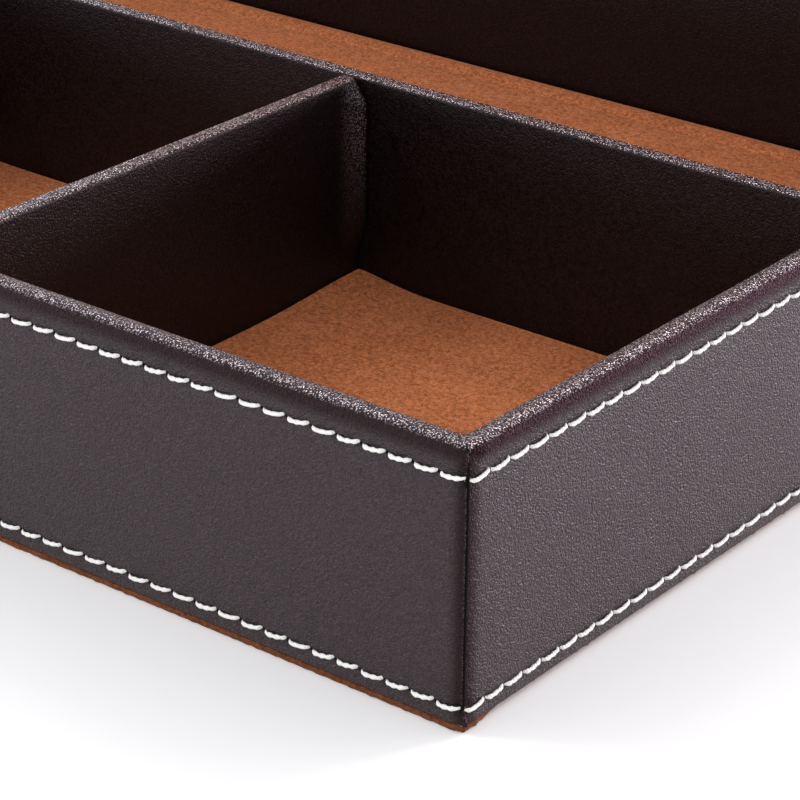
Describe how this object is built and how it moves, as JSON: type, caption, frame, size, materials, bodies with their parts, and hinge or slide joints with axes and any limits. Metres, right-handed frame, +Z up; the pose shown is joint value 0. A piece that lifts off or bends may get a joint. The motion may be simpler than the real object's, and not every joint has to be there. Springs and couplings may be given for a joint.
{
  "type": "desk organizer",
  "caption": "Leatherette-wrapped desk organizer tray with suede-lined compartments, contrast stitching and a hinged lift lid with a pull tab.",
  "frame": {"origin": "centre of the suede face that rests on the desk, midway between the end walls and midway between the front and rear walls", "axes": "+X along the length towards the right end wall, +Y from the front wall to the rear wall that carries the hinges, +Z up"},
  "size_m": [0.359, 0.3225, 0.3068],
  "materials": {
    "leatherette": "dark brown fine-grained leatherette, satin",
    "suede": "russet brown suede, matte",
    "thread": "off-white sewing thread",
    "board": "medium-density fibreboard, bare",
    "brass": "satin brass"
  },
  "bodies": {
    "tray": {"base_suede": "suede", "base_board": "board", "front_board": "board", "rear_board": "board", "left_board": "board", "right_board": "board", "front_cover": "leatherette", "rear_cover": "leatherette", "left_cover": "leatherette", "right_cover": "leatherette", "front_stitching": "thread", "rear_stitching": "thread", "left_stitching": "thread", "right_stitching": "thread", "long_divider_board": "board", "long_divider_cover": "leatherette", "left_divider_board": "board", "left_divider_cover": "leatherette", "right_divider_board": "board", "right_divider_cover": "leatherette", "floor_pad_left": "suede", "floor_pad_middle": "suede", "floor_pad_right": "suede", "floor_pad_rear": "suede", "hinge_tray_leaves": "brass", "hinge_pins": "brass", "hinge_tray_screws": "brass"},
    "lid": {"lid_board": "board", "lid_cover": "leatherette", "lid_lining": "suede", "lid_stitching": "thread", "pull_tab": "leatherette", "hinge_lid_leaves": "brass", "hinge_lid_screws": "brass"}
  },
  "joints": [
    {"name": "lid_hinge", "type": "hinge", "parent": "tray", "child": "lid", "pos_m": [0, 0.12625, 0.0503], "axis": [1, 0, 0], "range_deg": [0, 105]}
  ]
}
